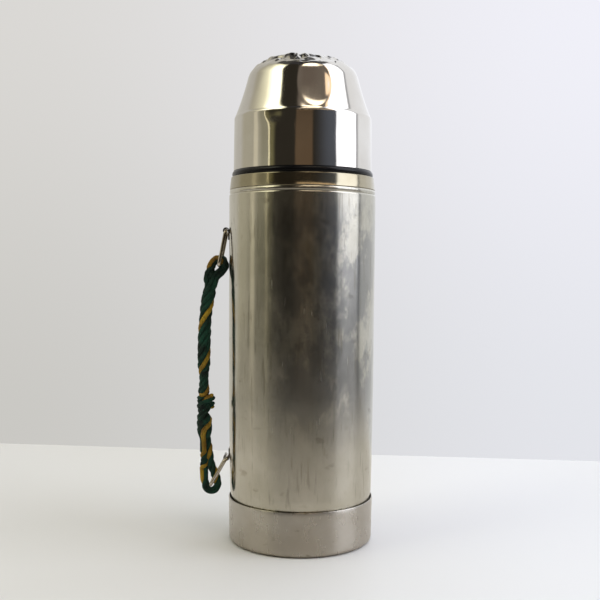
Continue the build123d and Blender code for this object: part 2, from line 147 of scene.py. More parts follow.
# ---------------------------------------------------------------- mesh helpers
def arc_points(start, middle, end, count):
    """Points after start on the arc through middle to end, in (r, z)."""
    (ax, ay), (bx, by), (cx, cy) = start, middle, end
    d = 2 * (ax * (by - cy) + bx * (cy - ay) + cx * (ay - by))
    a2, b2, c2 = ax * ax + ay * ay, bx * bx + by * by, cx * cx + cy * cy
    ux = (a2 * (by - cy) + b2 * (cy - ay) + c2 * (ay - by)) / d
    uy = (a2 * (cx - bx) + b2 * (ax - cx) + c2 * (bx - ax)) / d
    radius = math.hypot(ax - ux, ay - uy)
    first, mid, last = (math.atan2(y - uy, x - ux) for x, y in (start, middle, end))
    turn = (last - first) % (2 * math.pi)
    if (mid - first) % (2 * math.pi) > turn:
        turn -= 2 * math.pi
    angles = [first + turn * i / count for i in range(1, count + 1)]
    return [(ux + radius * math.cos(angle), uy + radius * math.sin(angle)) for angle in angles]


def line_points(start, end, spacing):
    """Evenly spaced points after start on the line to end, in (r, z)."""
    count = max(1, round(math.dist(start, end) / spacing))
    return [(start[0] + (end[0] - start[0]) * i / count, start[1] + (end[1] - start[1]) * i / count)
            for i in range(1, count + 1)]


def outline(start, *steps, spacing=2.5, arc_count=8):
    """Closely spaced (r, z) points. A step is a corner, or (middle, end) for an arc."""
    points = [start]
    for step in steps:
        if isinstance(step[0], tuple):
            points += arc_points(points[-1], step[0], step[1], arc_count)
        else:
            points += line_points(points[-1], step, spacing)
    return points


def new_object(name, bm, materials, crease=35):
    """Object from a bmesh, smooth except along edges sharper than crease degrees."""
    bmesh.ops.recalc_face_normals(bm, faces=bm.faces)
    mesh = bpy.data.meshes.new(name)
    bm.to_mesh(mesh)
    bm.free()
    mesh.polygons.foreach_set("use_smooth", [True] * len(mesh.polygons))
    mesh.set_sharp_from_angle(angle=math.radians(crease))
    for material in materials:
        mesh.materials.append(material)
    obj = bpy.data.objects.new(name, mesh)
    bpy.context.scene.collection.objects.link(obj)
    return obj


def lathe(name, points, materials, segments=240, shape=None, crease=35):
    """Closed surface of revolution of an outline in mm. shape, where given, moves each point, also in mm."""
    bm = bmesh.new()
    rings = []
    for r, z in points:
        if r < 1e-6:
            rings.append([bm.verts.new((0, 0, z))])
            continue
        ring = []
        for i in range(segments):
            angle = 2 * math.pi * i / segments
            ring.append(bm.verts.new((r * math.cos(angle), r * math.sin(angle), z)))
        rings.append(ring)
    pairs = list(zip(rings, rings[1:]))
    if len(rings[0]) > 1 or len(rings[-1]) > 1:
        pairs.append((rings[-1], rings[0]))
    for low, high in pairs:
        for i in range(segments):
            j = (i + 1) % segments
            corners = [low[i % len(low)], low[j % len(low)], high[j % len(high)], high[i % len(high)]]
            unique = list(dict.fromkeys(corners))
            if len(unique) > 2:
                bm.faces.new(unique)
    for v in bm.verts:
        if shape:
            v.co = shape(v.co)
        v.co *= MM
    return new_object(name, bm, materials, crease)


# ---------------------------------------------------------------- material helpers
def node(tree, kind, inputs=None, **props):
    """A shader node with its properties set and its sockets linked or set."""
    made = tree.nodes.new(kind)
    for key, value in props.items():
        setattr(made, key, value)
    for key, value in (inputs or {}).items():
        socket = made.inputs[key]
        if isinstance(value, bpy.types.NodeSocket):
            tree.links.new(value, socket)
        else:
            socket.default_value = value
    return made


def new_material(name):
    material = bpy.data.materials.new(name)
    material.use_nodes = True
    material.node_tree.nodes.clear()
    return material, material.node_tree


def finish_material(tree, shader):
    out = node(tree, "ShaderNodeOutputMaterial")
    tree.links.new(shader.outputs[0], out.inputs["Surface"])


def scaled_coords(tree, scale):
    """The object's own coordinates, in metres times scale."""
    where = node(tree, "ShaderNodeTexCoord")
    return node(tree, "ShaderNodeMapping", {"Vector": where.outputs["Object"], "Scale": scale}).outputs[0]


def noise_value(tree, coords, scale, detail=3.0, roughness=0.55, seed=0.0):
    """Noise from 0 to 1."""
    made = node(tree, "ShaderNodeTexNoise", {"Vector": coords, "Scale": scale, "Detail": detail,
                                             "Roughness": roughness, "W": seed}, noise_dimensions="4D")
    return made.outputs["Fac"]


def ramp(tree, value, low, high, to_low=0.0, to_high=1.0):
    """Smooth step of a value from one range to another."""
    made = node(tree, "ShaderNodeMapRange", {"Value": value, "From Min": low, "From Max": high,
                                             "To Min": to_low, "To Max": to_high},
                interpolation_type="SMOOTHSTEP")
    return made.outputs[0]


def mix(tree, factor, a, b):
    """Colour a at factor 0 and b at 1."""
    made = node(tree, "ShaderNodeMix", data_type="RGBA")
    for index, value in ((0, factor), (6, a), (7, b)):
        if isinstance(value, bpy.types.NodeSocket):
            tree.links.new(value, made.inputs[index])
        elif index == 0:
            made.inputs[index].default_value = value
        else:
            made.inputs[index].default_value = (*value, 1.0)
    return made.outputs[2]


def math_node(tree, operation, a, b=0.0):
    made = node(tree, "ShaderNodeMath", {0: a, 1: b}, operation=operation)
    return made.outputs[0]


# ---------------------------------------------------------------- metals
def worn_metal(name, clean, tarnish, rough, anisotropy=0.0, speckles=0.3, scratches=0.5, brushing=0.02,
               seed=0.0, stains=0.0, dark_crumple_from=None, patina=None, pits=0.0):
    """Old sheet metal: cloudy tarnish, brushing, fine scratches, specks, stains and black pits.

    From the height given for the dark crumple up, the crumpled edge round the top is darkened in patches.
    patina is (side, low, high, depth): it darkens one side between two heights."""
    material, tree = new_material(name)
    even = scaled_coords(tree, (1, 1, 1))
    clouds = noise_value(tree, even, 30, 4, 0.6, seed)
    smudges = noise_value(tree, scaled_coords(tree, (1, 1, 0.45)), 150, 3, 0.6, seed + 3)
    around = scaled_coords(tree, (10, 10, 2200))
    brush = noise_value(tree, around, 1.0, 2, 0.5, seed + 5)
    slanted = node(tree, "ShaderNodeMapping", {"Vector": even, "Rotation": (0.35, 0.2, 0.1),
                                               "Scale": (1300, 1300, 55)}).outputs[0]
    scratch = ramp(tree, noise_value(tree, slanted, 1.0, 1, 0.5, seed + 7), 0.72, 0.78)
    colour = mix(tree, ramp(tree, clouds, 0.30, 0.72), clean, tarnish)
    speck = ramp(tree, noise_value(tree, even, 620, 2, 0.5, seed + 9), 0.72, 0.80)
    speck_places = ramp(tree, noise_value(tree, even, 45, 2, 0.5, seed + 11), 0.42, 0.62)
    speck = math_node(tree, "MULTIPLY", speck, speck_places)
    colour = mix(tree, math_node(tree, "MULTIPLY", speck, speckles), colour, (0.10, 0.080, 0.055))
    if stains:
        stain = noise_value(tree, scaled_coords(tree, (1, 1, 1.8)), 75, 4, 0.6, seed + 13)
        colour = mix(tree, ramp(tree, stain, 0.60, 0.70, 0.0, stains), colour, (0.16, 0.12, 0.06))
    if patina:
        side, low, high, depth = patina
        place = node(tree, "ShaderNodeSeparateXYZ", {0: even}).outputs
        toward = node(tree, "ShaderNodeVectorMath", {0: even, 1: side},
                      operation="DOT_PRODUCT").outputs["Value"]
        area = math_node(tree, "MULTIPLY", ramp(tree, toward, 0.020, 0.043),
                         math_node(tree, "MULTIPLY", ramp(tree, place[2], low, low + 0.05),
                                   ramp(tree, place[2], high - 0.04, high, 1.0, 0.0)))
        blotches = noise_value(tree, scaled_coords(tree, (1, 1, 0.6)), 42, 5, 0.68, seed + 17)
        area = math_node(tree, "MULTIPLY", area, ramp(tree, blotches, 0.42, 0.55, 0.10, 1.0))
        colour = mix(tree, math_node(tree, "MULTIPLY", area, depth), colour, (0.17, 0.18, 0.20))
        streaks = noise_value(tree, scaled_coords(tree, (1, 1, 0.10)), 380, 3, 0.6, seed + 19)
        colour = mix(tree, ramp(tree, streaks, 0.54, 0.70, 0.0, 0.45), colour, (0.26, 0.24, 0.19))
    if pits:
        pit = ramp(tree, noise_value(tree, even, 430, 2, 0.5, seed + 21), 0.735, 0.765)
        gather = ramp(tree, noise_value(tree, even, 38, 2, 0.5, seed + 23), 0.46, 0.60)
        pit = math_node(tree, "MULTIPLY", pit, gather)
        colour = mix(tree, math_node(tree, "MULTIPLY", pit, pits), colour, (0.025, 0.020, 0.015))
    # the crumpled edge round the top is darkened in patches, from the given height up
    if dark_crumple_from:
        place = node(tree, "ShaderNodeSeparateXYZ", {0: even}).outputs
        flat = node(tree, "ShaderNodeCombineXYZ", {0: place[0], 1: place[1]}).outputs[0]
        reach = node(tree, "ShaderNodeVectorMath", {0: flat}, operation="LENGTH").outputs["Value"]
        rim = math_node(tree, "MULTIPLY", ramp(tree, place[2], dark_crumple_from, dark_crumple_from + 0.003),
                        ramp(tree, reach, 0.018, 0.023))
        patchy = ramp(tree, noise_value(tree, even, 210, 3, 0.6, seed + 15), 0.44, 0.56)
        colour = mix(tree, math_node(tree, "MULTIPLY", rim, patchy), colour, (0.035, 0.030, 0.030))
    roughness = math_node(tree, "ADD", ramp(tree, smudges, 0.30, 0.75, rough * 0.9, rough * 1.15),
                          math_node(tree, "MULTIPLY", math_node(tree, "ADD", scratch, speck), 0.10))
    marks = math_node(tree, "ADD", math_node(tree, "MULTIPLY", scratch, scratches), speck)
    height = math_node(tree, "SUBTRACT", math_node(tree, "MULTIPLY", brush, brushing * 10), marks)
    bump = node(tree, "ShaderNodeBump", {"Strength": 0.3, "Distance": 0.00003, "Height": height})
    shader = node(tree, "ShaderNodeBsdfPrincipled", {
        "Base Color": colour, "Roughness": roughness, "Metallic": 1.0, "Normal": bump.outputs[0],
        "Anisotropic": anisotropy, "Anisotropic Rotation": 0.25})
    if anisotropy:
        tangent = node(tree, "ShaderNodeTangent", direction_type="RADIAL", axis="Z")
        tree.links.new(tangent.outputs[0], shader.inputs["Tangent"])
    finish_material(tree, shader)
    return material


def moulded(name, colour, rough, grain=600, depth=0.00005, specular=0.5, metallic=0.0):
    """Plastic, rubber, foam or cork with a fine grain and uneven colour."""
    material, tree = new_material(name)
    even = scaled_coords(tree, (1, 1, 1))
    uneven = noise_value(tree, even, 60, 3)
    darker = tuple(c * 0.6 for c in colour)
    shade = mix(tree, ramp(tree, uneven, 0.35, 0.7), colour, darker)
    fine = noise_value(tree, even, grain, 3)
    bump = node(tree, "ShaderNodeBump", {"Strength": 0.5, "Distance": depth, "Height": fine})
    roughness = ramp(tree, uneven, 0.3, 0.7, rough, rough * 1.35)
    shader = node(tree, "ShaderNodeBsdfPrincipled", {
        "Base Color": shade, "Metallic": metallic, "Normal": bump.outputs[0], "Roughness": roughness,
        "Specular IOR Level": specular})
    finish_material(tree, shader)
    return material


def cord_fibre(name, colour, dark, fleck, seed):
    """Spun yarn: fine ply lines along the strand, painted shade in the grooves between them, paler worn
    fibres, darker soiled patches and painted shade over the upper eye.
    """
    material, tree = new_material(name)
    even = scaled_coords(tree, (1, 1, 1))
    uv = node(tree, "ShaderNodeUVMap", uv_map="strand").outputs[0]
    ply = node(tree, "ShaderNodeMapping", {"Vector": uv, "Rotation": (0, 0, 0.7)}).outputs[0]
    lines = node(tree, "ShaderNodeTexWave", {"Vector": ply, "Scale": 1.15, "Distortion": 1.6,
                                             "Detail": 2.0, "Detail Scale": 2.0}).outputs["Fac"]
    soil = noise_value(tree, even, 160, 4, 0.6, seed)
    shade = mix(tree, ramp(tree, soil, 0.42, 0.72), colour, dark)
    # painted shade: the grooves between the ply lines are darkened
    shade = mix(tree, math_node(tree, "MULTIPLY", ramp(tree, lines, 0.0, 0.5, 1.0, 0.0), 0.35), shade, dark)
    # painted shade: from 164 mm up the upper eye is darkened; random soiled patches are darkened as well
    height_up = node(tree, "ShaderNodeSeparateXYZ", {0: even}).outputs[2]
    eye_shade_and_soil = math_node(tree, "MAXIMUM", ramp(tree, height_up, 0.164, 0.174, 0.0, 0.75),
                      ramp(tree, noise_value(tree, even, 55, 3, 0.5, seed + 8), 0.46, 0.66, 0.0, 0.6))
    shade = mix(tree, eye_shade_and_soil, shade, dark)
    spot = ramp(tree, noise_value(tree, even, 420, 2, 0.5, seed + 2), 0.66, 0.72)
    shade = mix(tree, math_node(tree, "MULTIPLY", spot, 0.6), shade, fleck)
    fuzz = noise_value(tree, even, 2500, 2, 0.6, seed + 4)
    height = math_node(tree, "ADD", lines, math_node(tree, "MULTIPLY", fuzz, 0.5))
    bump = node(tree, "ShaderNodeBump", {"Strength": 0.8, "Distance": 0.00025, "Height": height})
    shader = node(tree, "ShaderNodeBsdfPrincipled", {
        "Base Color": shade, "Roughness": 0.85, "Normal": bump.outputs[0], "Sheen Weight": 0.02,
        "Sheen Roughness": 0.5})
    finish_material(tree, shader)
    return material


CASE_METAL = worn_metal("case_steel", (0.63, 0.605, 0.53), (0.53, 0.51, 0.43), 0.20, 0.88, 0.6, 0.12,
                        stains=0.30, patina=((0.45, -0.89, 0), 0.055, 0.235, 0.58), pits=0.9)
CUP_METAL = worn_metal("cup_steel", (0.68, 0.66, 0.62), (0.61, 0.58, 0.53), 0.085, 0.4, 0.35, 0.4, 0.0,
                       seed=11, dark_crumple_from=0.3055)
COLLAR_METAL = worn_metal("collar_metal", (0.42, 0.385, 0.29), (0.33, 0.29, 0.20), 0.13, 0.35, seed=23)
BASE_METAL = worn_metal("base_steel", (0.56, 0.54, 0.50), (0.46, 0.43, 0.38), 0.29, 0.83, 0.7, seed=31,
                        stains=0.7, pits=0.9)
WIRE_METAL = worn_metal("wire_steel", (0.72, 0.67, 0.60), (0.26, 0.22, 0.17), 0.16, 0.0, 0.8, seed=41)
LUG_METAL = worn_metal("lug_steel", (0.20, 0.18, 0.15), (0.06, 0.05, 0.04), 0.28, 0.0, 0.8, seed=47)
BLACK = moulded("black_plastic", (0.005, 0.005, 0.006), 0.20, grain=200, depth=0.00002, specular=0.22)
DULL_BLACK = moulded("cup_plastic", (0.03, 0.03, 0.03), 0.4)
RUBBER = moulded("rubber", (0.035, 0.033, 0.03), 0.6, 900)
FOAM = moulded("foam", (0.45, 0.42, 0.36), 0.85, 1500, 0.0004)
FELT = moulded("felt", (0.60, 0.57, 0.50), 0.9, 2500, 0.0003)
CORK = moulded("cork", (0.42, 0.26, 0.13), 0.8, 500, 0.0005)
SILVERED = moulded("silvered_glass", (0.86, 0.87, 0.88), 0.05, 80, 0.00002, metallic=0.95)
GREEN = cord_fibre("cord_green", (0.003, 0.066, 0.036), (0.001, 0.010, 0.007), (0.008, 0.12, 0.07), 1.0)
MUSTARD = cord_fibre("cord_mustard", (0.52, 0.34, 0.022), (0.17, 0.085, 0.008), (0.50, 0.10, 0.012), 5.0)

CAD_MATERIALS = {
    "neck_gasket": RUBBER, "inner_glass": SILVERED, "outer_glass": SILVERED, "glass_spacers": FELT,
    "centring_ring": FOAM, "base_thread_ring": DULL_BLACK, "upper_lug": LUG_METAL, "lower_lug": LUG_METAL,
    "cup_thread_ring": DULL_BLACK, "cup_washer": RUBBER, "stopper_cork": CORK, "stopper_knob": BLACK,
    "stopper_pin": WIRE_METAL, "stopper_foot": WIRE_METAL, "base_cap_thread": DULL_BLACK,
    "base_cushion": RUBBER, "upper_ring": WIRE_METAL, "lower_ring": WIRE_METAL}
for node_name, material in CAD_MATERIALS.items():
    mesh = frame["nodes"][node_name].data
    mesh.materials.clear()
    mesh.materials.append(material)


# ---------------------------------------------------------------- shells
def ripple(point, wavelength, seed):
    """Smooth unevenness from -1 to 1, its waves about as long as wavelength."""
    return noise.noise(Vector(point) / wavelength + Vector((seed, seed, seed)))


def case_shape(p):
    """Slight waviness of old rolled sheet, less in the stiff bead."""
    radius = math.hypot(p.x, p.y)
    push = 0.10 * ripple(p, 34, 3.1) + 0.03 * ripple(p, 12, 7.7)
    if p.z > BEAD_BOTTOM - 2.9:
        push *= 0.2
    k = (radius + push) / radius
    return Vector((p.x * k, p.y * k, p.z))


def build_case():
    inner = [(r - SHEET, z) for r, z in reversed(CASE_OUTLINE)]
    middle = (BEAD_BOTTOM + BEAD_TOP) / 2
    points = outline(*CASE_OUTLINE, (BEAD_HOLLOW, (BEAD_R, BEAD_BOTTOM)),
                     ((BEAD_CREST_R, middle), (BEAD_R, BEAD_TOP)),
                     (BEAD_R - SHEET, BEAD_TOP), (BEAD_R - SHEET, BEAD_BOTTOM), *inner)
    case = lathe("case_tube", points, [CASE_METAL], shape=case_shape)
    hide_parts("outer_case")
    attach(case, "flask")


def build_collar():
    skirt = BEAD_R - SHEET
    points = outline((skirt, COLLAR_FOOT), (skirt, BEAD_TOP), (COLLAR_BOTTOM_R - 0.25, BEAD_TOP),
                     ((COLLAR_BOTTOM_R - 0.04, BEAD_TOP + 0.08), (COLLAR_BOTTOM_R, BEAD_TOP + 0.35)),
                     (COLLAR_TOP_R, COLLAR_TOP - 0.6),
                     ((COLLAR_TOP_R - 0.18, COLLAR_TOP - 0.15), (COLLAR_TOP_R - 0.6, COLLAR_TOP)),
                     (NECK_SKIRT_R + 0.1, COLLAR_TOP), (NECK_SKIRT_R + 0.1, COLLAR_TOP - 0.7),
                     (COLLAR_TOP_R - 0.9, COLLAR_TOP - 0.7), (skirt - 0.7, BEAD_TOP),
                     (skirt - 0.7, COLLAR_FOOT))
    collar = lathe("collar_band", points, [COLLAR_METAL])
    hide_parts("shoulder_collar")
    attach(collar, "flask")


def build_neck():
    """Plastic neck with its flange and the ridge of its thread."""
    flange_mid = (COLLAR_TOP + FLANGE_TOP) / 2
    mouth_r, shoulder_z = NECK_MOUTH[-1][0], NECK_MOUTH[0][1] - 1.5
    points = outline((NECK_SKIRT_R, NECK_FOOT), (NECK_SKIRT_R, COLLAR_TOP),
                     (FLANGE_R - FLANGE_ROUND, COLLAR_TOP),
                     ((FLANGE_R, flange_mid), (FLANGE_R - FLANGE_ROUND, FLANGE_TOP)),
                     (THREAD_ROOT_R, FLANGE_TOP), (THREAD_ROOT_R, shoulder_z), *NECK_MOUTH,
                     (mouth_r, NECK_SEAT), (NECK_SEAT_R, NECK_SEAT), (NECK_SEAT_R, FLANGE_TOP),
                     (NECK_SKIRT_BORE, COLLAR_TOP - 0.4), (NECK_SKIRT_BORE, NECK_FOOT))
    neck = lathe("neck_ring", points, [BLACK])
    ridge = thread_ridge()
    mesh = neck.data
    bm = bmesh.new()
    bm.from_mesh(mesh)
    bm.from_mesh(ridge)
    bm.to_mesh(mesh)
    bm.free()
    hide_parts("neck_collar")
    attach(neck, "flask")


def thread_ridge():
    """Mesh of the ridge of the neck's right-hand thread, sunk a little into its root, closed at both ends."""
    bm = bmesh.new()
    count = round(96 * THREAD_TURNS)
    root_r = THREAD_ROOT_R - THREAD_SINK
    section = [(root_r, -THREAD_ROOT_WIDTH / 2), (THREAD_CREST_R, -THREAD_CREST_WIDTH / 2),
               (THREAD_CREST_R, THREAD_CREST_WIDTH / 2), (root_r, THREAD_ROOT_WIDTH / 2)]
    rings = []
    for i in range(count + 1):
        angle = 2 * math.pi * THREAD_TURNS * i / count
        rise = THREAD_START + THREAD_LEAD * THREAD_TURNS * i / count
        rings.append([bm.verts.new((r * math.cos(angle) * MM, r * math.sin(angle) * MM, (rise + dz) * MM))
                      for r, dz in section])
    for low, high in zip(rings, rings[1:]):
        for i in range(len(section)):
            j = (i + 1) % len(section)
            bm.faces.new((low[i], low[j], high[j], high[i]))
    bm.faces.new(reversed(rings[0]))
    bm.faces.new(rings[-1])
    bmesh.ops.recalc_face_normals(bm, faces=bm.faces)
    mesh = bpy.data.meshes.new("thread_ridge")
    bm.to_mesh(mesh)
    bm.free()
    return mesh


def dent(p, radius, bearing, z, across, along):
    """How far a point is from a spot on the cup's side, as a share of the spot's half sizes in mm."""
    turn = math.atan2(p.y, p.x) - math.radians(bearing)
    turn = (turn + math.pi) % (2 * math.pi) - math.pi
    return math.hypot(turn * radius / across, (p.z - z) / along)


def cup_shape(p):
    """Crumpled folds round the cup's flat top, a shallow dish in the cone and a dent in the edge below it."""
    radius = math.hypot(p.x, p.y)
    if radius < 1e-6:
        return p
    angle = math.atan2(p.y, p.x)
    round_top = Vector((math.cos(angle), math.sin(angle), 0)) * CRUMPLE_R
    band = math.exp(-((p.z - CRUMPLE_Z) / CRUMPLE_HALF_HEIGHT) ** 2)
    band *= smooth(radius, CRUMPLE_INNER, CRUMPLE_OUTER)
    folds = 1 - 2.3 * abs(noise.noise((round_top + Vector((0, 0, p.z * 1.2))) / FOLD_SIZE))
    creases = 1 - 2.6 * abs(noise.noise((round_top + Vector((0, 0, p.z * 1.5 + 60))) / CREASE_SIZE))
    push = -band * (0.30 + 1.2 * max(0.0, folds) + 0.45 * max(0.0, creases))
    sink = band * (0.05 + 1.45 * max(0.0, folds) + 0.45 * creases)
    lip = dent(p, radius, *CONE_DISH)
    push += DISH_LIP * (0.15 + 0.85 * smooth(p.x, -3, 9)) * math.exp(-((lip - 1) / DISH_LIP_WIDTH) ** 2)
    push -= EDGE_DENT_DEPTH * math.exp(-dent(p, radius, *EDGE_DENT) ** 2)
    push += 0.035 * ripple(p, 22, 5.5) + 0.014 * ripple(p, 9, 2.5)
    k = (radius + push) / radius
    return Vector((p.x * k, p.y * k, p.z - sink))


def build_cup():
    rise = CUP_TOP - CUP_CREST_Z
    dome_r = (CUP_CREST_R**2 + rise**2) / (2 * rise)
    half_r = CUP_CREST_R / 2

    def side(sheet, drop):
        """The cup's outline from rim to crown, sheet inside the outer face, edge and cone lower by drop."""
        crest = (CUP_CREST_R * (dome_r - sheet) / dome_r, CUP_CREST_Z - sheet)
        below, edge, above = (z - drop for z in CUP_EDGE_Z)
        return [(CUP_RIM_R - sheet, CUP_RIM_Z), (CUP_EDGE_R - sheet, below),
                ((CUP_EDGE_R - 0.12 - sheet, edge), (CUP_EDGE_R - 0.6 - sheet, above)),
                ((CONE_MIDDLE[0] - sheet, CONE_MIDDLE[1] - drop), (CONE_TOP[0] - sheet, CONE_TOP[1] - drop)),
                ((CUP_SHOULDER[0] - 0.8 * sheet, CUP_SHOULDER[1] - 0.8 * sheet), crest),
                ((half_r, CUP_TOP - half_r**2 / (2 * dome_r) - sheet), (0.0, CUP_TOP - sheet))]
    outer = outline(*side(0.0, 0.0), spacing=CUP_SPACING, arc_count=26)
    inner = outline(*side(CUP_SHEET, CUP_SHEET / 2), spacing=1.5, arc_count=20)
    points = outer + list(reversed(inner))
    cup = lathe("cup_body", points, [CUP_METAL], segments=CUP_SEGMENTS, shape=cup_shape, crease=50)
    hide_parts("cup_shell")
    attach(cup, "cup")


def base_shape(p):
    """Slight waviness of the base's wall. Its foot stays flat."""
    radius = math.hypot(p.x, p.y)
    if radius < 1e-6 or p.z < 1.5:
        return p
    push = 0.07 * ripple(p, 26, 8.3) + 0.02 * ripple(p, 9, 4.2)
    k = (radius + push) / radius
    return Vector((p.x * k, p.y * k, p.z))


def build_base():
    corner = BASE_WALL_R - BASE_ROUND
    diag = math.sin(math.radians(45))
    inner_round = BASE_ROUND - SHEET
    points = outline((0.0, 0.0), (corner, 0.0),
                     ((corner + BASE_ROUND * diag, BASE_ROUND * (1 - diag)), (BASE_WALL_R, BASE_ROUND)),
                     (BASE_RIM_R, BASE_RIM_Z - 0.25),
                     ((BASE_RIM_R - SHEET / 2, BASE_RIM_Z), (BASE_RIM_R - SHEET, BASE_RIM_Z - 0.25)),
                     (BASE_WALL_R - SHEET, BASE_ROUND),
                     ((corner + inner_round * diag, BASE_ROUND - inner_round * diag), (corner, SHEET)),
                     (0.0, SHEET))
    base = lathe("base_cup", points, [BASE_METAL], shape=base_shape)
    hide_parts("base_cap")
    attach(base, "base")


# ---------------------------------------------------------------- handle cord
def between(x, knots):
    """Straight-line interpolation in a list of (x, value), x rising."""
    for (x0, v0), (x1, v1) in zip(knots, knots[1:]):
        if x <= x1 or (x1, v1) == knots[-1]:
            return v0 + (v1 - v0) * (x - x0) / (x1 - x0)


def spline_points(name, controls):
    """Points, in metres, along the NURBS spline with these control points in mm."""
    curve = bpy.data.curves.new(name, "CURVE")
    curve.dimensions = "3D"
    curve.resolution_u = 8
    spline = curve.splines.new("NURBS")
    spline.points.add(len(controls) - 1)
    for point, (x, y, z) in zip(spline.points, controls):
        point.co = (x * MM, y * MM, z * MM, 1.0)
    spline.order_u = 3
    spline.use_endpoint_u = True
    holder = bpy.data.objects.new(name, curve)
    mesh = bpy.data.meshes.new_from_object(holder)
    points = [v.co.copy() for v in mesh.vertices]
    bpy.data.objects.remove(holder)
    bpy.data.meshes.remove(mesh)
    return points


def stem_axis():
    """The stem's middle line as a function of height in mm, from its NURBS spline."""
    line = [(p.z / MM, p.x / MM) for p in spline_points("stem_line", [(x, 0.0, z) for x, z in STEM_ROUTE])]
    return sorted(line)


def helix_point(axis, z, turns, radius):
    """A point round the stem's middle line. Whole turns face the front, and fractions lead anticlockwise."""
    angle = math.radians(-90 + 360 * turns)
    return (between(z, axis) + radius * math.cos(angle), radius * math.sin(angle), z)


def smooth(x, low, high):
    """0 below low, 1 above high, and a smooth step between."""
    t = min(1.0, max(0.0, (x - low) / (high - low)))
    return t * t * (3 - 2 * t)


def steps(first, last, spacing=1.6):
    """Evenly spaced values from first to last."""
    count = round(abs(last - first) / spacing)
    return [first + (last - first) * i / count for i in range(count + 1)]


def cord_controls():
    """Control points of the whole cord, from one cut end round both eyes to the other, in mm."""
    axis = stem_axis()

    def radius(z):
        """How far a half's middle is from the stem's, more where the cut ends are tucked in."""
        return HALF_REACH * between(z, STEM_RADII) + 1.1 * math.exp(-((z - 88) / 4.5) ** 2)

    controls = list(CUT_END_UPPER)
    for z in steps(TUCK_Z, STEM_FOOT):
        lead = 0.27 * max(0.0, z - 76) / 16.6
        controls.append(helix_point(axis, z, between(z, STEM_TURNS) + lead, radius(z)))
    controls += [(x, 0.0, z) for x, z in LOWER_EYE]
    for z in steps(STEM_FOOT, STEM_HEAD):
        controls.append(helix_point(axis, z, between(z, STEM_TURNS) + 0.5, radius(z)))
    controls += [(x, 0.0, z) for x, z in UPPER_EYE]
    for z in steps(STEM_HEAD, TUCK_Z):
        lag = 0.386 * (max(0.0, 96 - z) / 9.8) ** 2
        controls.append(helix_point(axis, z, between(z, STEM_TURNS) - lag, radius(z)))
    controls += CUT_END_LOWER
    return controls, axis


def resampled(points, spacing):
    """Points at even spacing along a polyline, and its length."""
    lengths = [0.0]
    for a, b in zip(points, points[1:]):
        lengths.append(lengths[-1] + (b - a).length)
    count = round(lengths[-1] / spacing)
    even, k = [], 0
    for i in range(count + 1):
        s = lengths[-1] * i / count
        while k < len(points) - 2 and lengths[k + 1] < s:
            k += 1
        part = (s - lengths[k]) / (lengths[k + 1] - lengths[k])
        even.append(points[k].lerp(points[k + 1], part))
    return even, lengths[-1]


def frames_along(points):
    """Tangent and two normals at each point, carried along without twisting."""
    frames = []
    normal = Vector((0, -1, 0))
    for i in range(len(points)):
        tangent = (points[min(i + 1, len(points) - 1)] - points[max(i - 1, 0)]).normalized()
        normal = (normal - tangent * normal.dot(tangent)).normalized()
        frames.append((tangent, normal, tangent.cross(normal)))
    return frames


def laid_share(z):
    """1 where the two halves are laid into one stem, 0 in the eyes and where the cut ends are tucked in."""
    return smooth(z, 63, 70) * (1 - smooth(z, 77, 82)) + smooth(z, 93, 97) * (1 - smooth(z, 159, 166))


def strand_turns(points, frames, axis, halves):
    """Where the mustard strand lies round the cord at each point, in radians.

    In the stem it faces out on the first half and in on the second. In the eyes it follows EYE_FACES."""
    known = []
    for i, (point, (tangent, normal, side)) in enumerate(zip(points, frames)):
        z = point.z / MM
        way = 1 if tangent.z > 0 else -1
        faces = [Vector(out) for half, rising, height, out in EYE_FACES
                 if half == halves[i] and rising == way and abs(z - height) < 0.3]
        if faces:
            out, turned = faces[0], 0
        elif 70 < z < 77 or 95 < z < 161:
            out, turned = point - Vector((between(z, axis) * MM, 0, z * MM)), halves[i] == "second"
        else:
            continue
        angle = math.atan2(out.dot(side), out.dot(normal)) + (math.pi if turned else 0)
        if known:
            expected = known[-1][1] + EYE_TWIST * (i - known[-1][0])
            angle += 2 * math.pi * round((expected - angle) / (2 * math.pi))
        known.append((i, angle))
    turns, k = [], 0
    for i in range(len(points)):
        while k < len(known) - 2 and known[k + 1][0] < i:
            k += 1
        (i0, a0), (i1, a1) = known[k], known[k + 1]
        z = points[i].z / MM
        tucked = smooth(z, 79, 83) if i < known[0][0] else 1 - smooth(z, 90, 94) if i > known[-1][0] else 0
        turns.append(a0 + (a1 - a0) * (i - i0) / (i1 - i0) + math.pi * tucked)
    return turns


def which_half(points):
    """The first half is all but the stretch between the eyes that goes up."""
    lowest = min(range(len(points)), key=lambda i: points[i].z)
    highest = max(range(len(points)), key=lambda i: points[i].z)
    return ["second" if lowest < i < highest else "first" for i in range(len(points))]


def strand_centre(point, frame, turn, strand, half, axis):
    """Middle of a strand, its radius in mm and the direction it lies in from the cord's middle.

    In the stem five strands lie round a hidden one. In the eyes and at the cut ends there are three."""
    tangent, normal, side = frame
    angle = turn + 2 * math.pi * strand / 3
    out = normal * math.cos(angle) + side * math.sin(angle)
    z = point.z / MM
    free_r = between(z, STRAND_RADII)
    alone = point + out * 0.9 * free_r * MM
    share = laid_share(z)
    if share == 0:
        return alone, free_r, out
    envelope = between(z, STEM_RADII)
    middle = Vector((between(z, axis) * MM, 0, z * MM))
    rising = 1 if tangent.z > 0 else -1
    own = point - middle
    bearing = math.atan2(own.y, own.x)
    if half == "first":
        bearing += rising * math.radians((0, 72, -72)[strand])
    else:
        bearing += rising * math.radians((0, -36, 36)[strand])
    reach = 0.0 if half == "second" and strand == 0 else LAID_REACH * envelope * MM
    laid = middle + Vector((math.cos(bearing), math.sin(bearing), 0)) * reach
    return alone.lerp(laid, share), free_r + (LAID_RADIUS * envelope - free_r) * share, out


